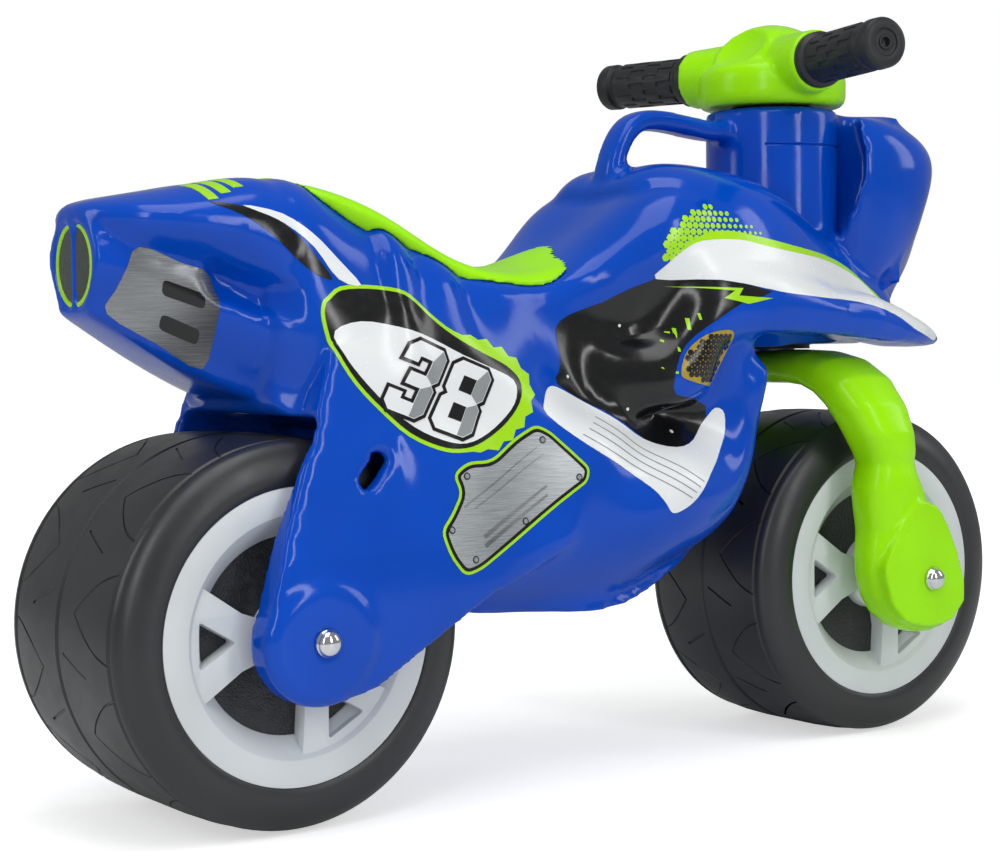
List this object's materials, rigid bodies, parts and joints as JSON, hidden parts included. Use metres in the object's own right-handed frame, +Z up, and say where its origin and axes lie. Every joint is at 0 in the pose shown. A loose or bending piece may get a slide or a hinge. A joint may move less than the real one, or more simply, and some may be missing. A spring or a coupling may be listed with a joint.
{
  "type": "ride-on toy motorbike",
  "caption": "Toddler's foot-to-floor ride-on motorbike with a blow-moulded body, steered fork, swept handlebar and two wide wheels on steel axles",
  "frame": {"origin": "on the ground under the middle of the whole toy's length and width", "axes": "+X points forwards to the nose, +Y to the rider's left and +Z up; the wheel axles lie along Y and the steering axis along Z"},
  "size_m": [0.67, 0.2782, 0.475],
  "materials": {
    "blue_plastic": "glossy blow-moulded polyethylene",
    "lime_plastic": "glossy moulded polyethylene",
    "tyre_plastic": "satin blow-moulded polyethylene",
    "white_plastic": "satin moulded plastic",
    "grip_plastic": "satin moulded soft plastic",
    "bearing_plastic": "plain moulded nylon",
    "steel": "plain steel rod and fasteners",
    "cap_chrome": "polished push-on cap",
    "printed_vinyl": "printed glossy vinyl film"
  },
  "bodies": {
    "frame": {"main_body": "blue_plastic", "seat_pad": "lime_plastic", "head_bush_lower": "bearing_plastic", "head_bush_upper": "bearing_plastic", "rear_axle": "steel", "rear_cap_left": "cap_chrome", "rear_cap_right": "cap_chrome", "rear_spacer_left": "bearing_plastic", "rear_spacer_right": "bearing_plastic"},
    "steering": {"fork": "lime_plastic", "steering_post": "steel", "steering_bolt": "steel", "steering_washer": "steel", "handlebar": "lime_plastic", "grip_left": "grip_plastic", "grip_right": "grip_plastic", "front_axle": "steel", "front_cap_left": "cap_chrome", "front_cap_right": "cap_chrome", "front_spacer_left": "bearing_plastic", "front_spacer_right": "bearing_plastic"},
    "rear_wheel": {"rear_tyre": "tyre_plastic", "rear_rim_left": "white_plastic", "rear_rim_right": "white_plastic", "rear_bush_left": "bearing_plastic", "rear_bush_right": "bearing_plastic"},
    "front_wheel": {"front_tyre": "tyre_plastic", "front_rim_left": "white_plastic", "front_rim_right": "white_plastic", "front_bush_left": "bearing_plastic", "front_bush_right": "bearing_plastic"}
  },
  "joints": [
    {"name": "steer", "type": "hinge", "parent": "frame", "child": "steering", "pos_m": [0.183, 0, 0.3], "axis": [0, 0, 1], "range_deg": [-25, 25]},
    {"name": "rear_spin", "type": "hinge", "parent": "frame", "child": "rear_wheel", "pos_m": [-0.227, 0, 0.108], "axis": [0, 1, 0], "continuous": true},
    {"name": "front_spin", "type": "hinge", "parent": "steering", "child": "front_wheel", "pos_m": [0.227, 0, 0.108], "axis": [0, 1, 0], "continuous": true}
  ]
}
